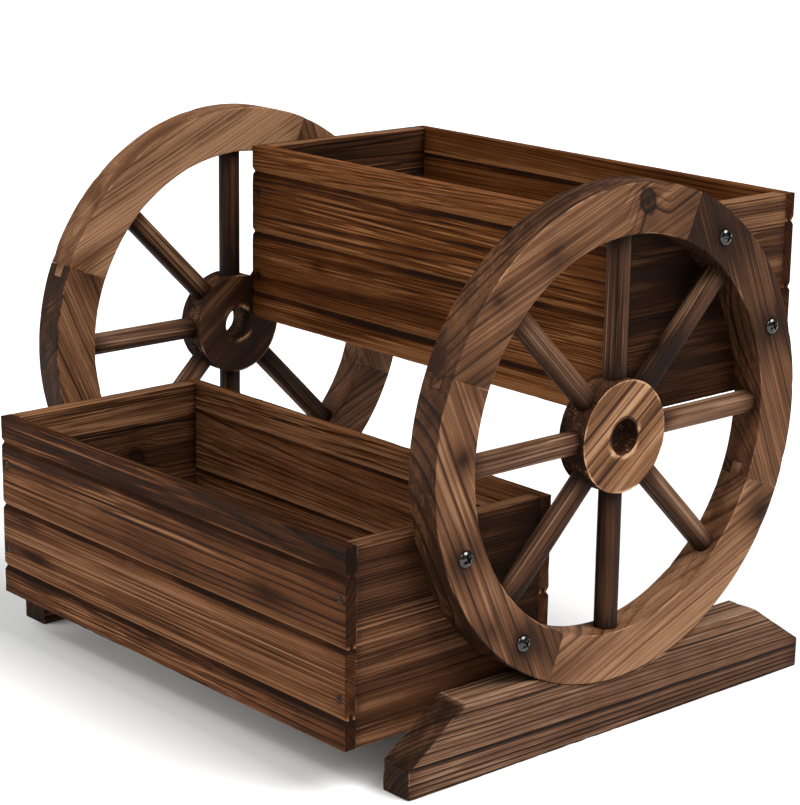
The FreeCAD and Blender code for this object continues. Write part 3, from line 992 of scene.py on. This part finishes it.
def add_screw(mesh, centre, facing, radius, rise, shank, turn, sink):
    """A screw head with a cross recess, domed by rise and sunk by sink, on a straight shank."""
    facing = Vector(facing)
    side = facing.orthogonal().normalized()
    other = facing.cross(side)
    corner_count, row_count = 64, 22
    angles = [index * 2 * pi / corner_count for index in range(corner_count)]
    rows = [(index + 1) / row_count for index in range(row_count)]

    def height(distance, angle):
        """The head's surface; the recess has sloping walls and grows shallow outwards."""
        u, v = distance * cos(angle - turn), distance * sin(angle - turn)
        long_bar = max(abs(u) / BAR_LENGTH, abs(v) / BAR_WIDTH)
        cross_bar = max(abs(v) / BAR_LENGTH, abs(u) / BAR_WIDTH)
        wall = min(long_bar, cross_bar)
        pit = max(0.0, min(1.0, (1.12 - wall) / 0.3)) * (1 - 0.55 * distance)
        dome = rise * sqrt(max(0.0, 1 - (distance * 0.985) ** 2))
        return dome - radius * BAR_DEPTH * pit

    def point(distance, angle, level):
        flat = (side * cos(angle) + other * sin(angle)) * distance * radius
        return centre + flat + facing * (level - sink)

    middle = mesh.verts.new(point(0, 0, height(0, 0)))
    loops = [[mesh.verts.new(point(row, angle, height(row, angle))) for angle in angles]
             for row in rows]
    for row, level in ((1.0, -0.15 * radius), (0.5, -0.7 * radius), (0.42, -shank)):
        loops.append([mesh.verts.new(point(row, angle, level)) for angle in angles])
    tip = mesh.verts.new(point(0, 0, -shank - radius * 0.6))
    for index in range(corner_count):
        following = (index + 1) % corner_count
        mesh.faces.new((middle, loops[0][index], loops[0][following]))
        mesh.faces.new((tip, loops[-1][following], loops[-1][index]))
        for lower, upper in zip(loops, loops[1:]):
            mesh.faces.new((lower[index], upper[index], upper[following], lower[following]))


bolts = bmesh.new()
random = Random("bolts")
for side, sign in SIDES.items():
    low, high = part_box(f"{side}_felloe_top")
    plane = high[0] if sign > 0 else low[0]
    for angle in BOLT_ANGLES:
        add_screw(bolts, on_wheel(plane, radians(angle), BOLT_CIRCLE), (sign, 0, 0), radius=0.008,
                  rise=0.0048, shank=0.04, turn=random.uniform(0, pi), sink=0.0002)
bmesh.ops.recalc_face_normals(bolts, faces=bolts.faces)
make(bolts, "wheel_screws", BRIGHT_STEEL, sharp=50)

screws = bmesh.new()
for tier in TIERS:
    for place, facing in screw_places(tier):
        add_screw(screws, place, (0, facing, 0), radius=0.0031, rise=0.0003, shank=0.028,
                  turn=random.uniform(0, pi), sink=0.0007)
bmesh.ops.recalc_face_normals(screws, faces=screws.faces)
make(screws, "panel_screws", DARK_STEEL, sharp=50)


# ---------------------------------------------------------------- stage, lights, camera

def stage():
    """A plain pale floor, wide enough to fill the picture."""
    mesh = bpy.data.meshes.new("floor")
    half = 40.0
    mesh.from_pydata([(-half, -half, 0), (half, -half, 0), (half, half, 0), (-half, half, 0)],
                     [], [(0, 1, 2, 3)])
    floor = bpy.data.objects.new("floor", mesh)
    bpy.context.scene.collection.objects.link(floor)
    graph = Graph("floor")
    graph.shader.inputs["Base Color"].default_value = (0.8, 0.8, 0.8, 1)
    graph.shader.inputs["Roughness"].default_value = 0.9
    mesh.materials.append(graph.material)


def sun(name, towards, spread, strength):
    """A soft light from one side; towards points from the object to the light."""
    data = bpy.data.lights.new(name, "SUN")
    data.angle = radians(spread)
    data.energy = strength
    light = bpy.data.objects.new(name, data)
    light.rotation_euler = Vector(towards).to_track_quat("Z", "Y").to_euler()
    bpy.context.scene.collection.objects.link(light)


def camera():
    """The photo's viewpoint; back points away from what the camera looks at."""
    azimuth, elevation, roll = radians(48.565), radians(15.005), radians(0.791)
    eye_place = (1.7363, -1.5181, 0.8716)
    back = Vector((sin(azimuth) * cos(elevation), -cos(azimuth) * cos(elevation), sin(elevation)))
    right = Vector((cos(azimuth), sin(azimuth), 0))
    up = back.cross(right)
    turn = Matrix((right, up, back)).transposed() @ Matrix.Rotation(roll, 3, "Z")
    data = bpy.data.cameras.new("camera")
    data.sensor_fit = "HORIZONTAL"
    data.sensor_width = 36
    data.lens = 109.4
    data.clip_start = 0.05
    eye = bpy.data.objects.new("camera", data)
    eye.matrix_world = Matrix.Translation(eye_place) @ turn.to_4x4()
    bpy.context.scene.collection.objects.link(eye)
    bpy.context.scene.camera = eye


stage()
sun("key", (0.85, 0.4, 1.15), spread=40, strength=4.4)
sun("fill", (-0.4, -1.2, 0.9), spread=70, strength=2.25)
sun("sparkle", (0.3, -1.0, 1.3), spread=8, strength=0.5)
world = bpy.data.worlds.new("world")
world.use_nodes = True
world.node_tree.nodes["Background"].inputs["Color"].default_value = (1, 1, 1, 1)
world.node_tree.nodes["Background"].inputs["Strength"].default_value = 0.25
bpy.context.scene.world = world
bpy.context.scene.view_settings.view_transform = "Standard"
camera()
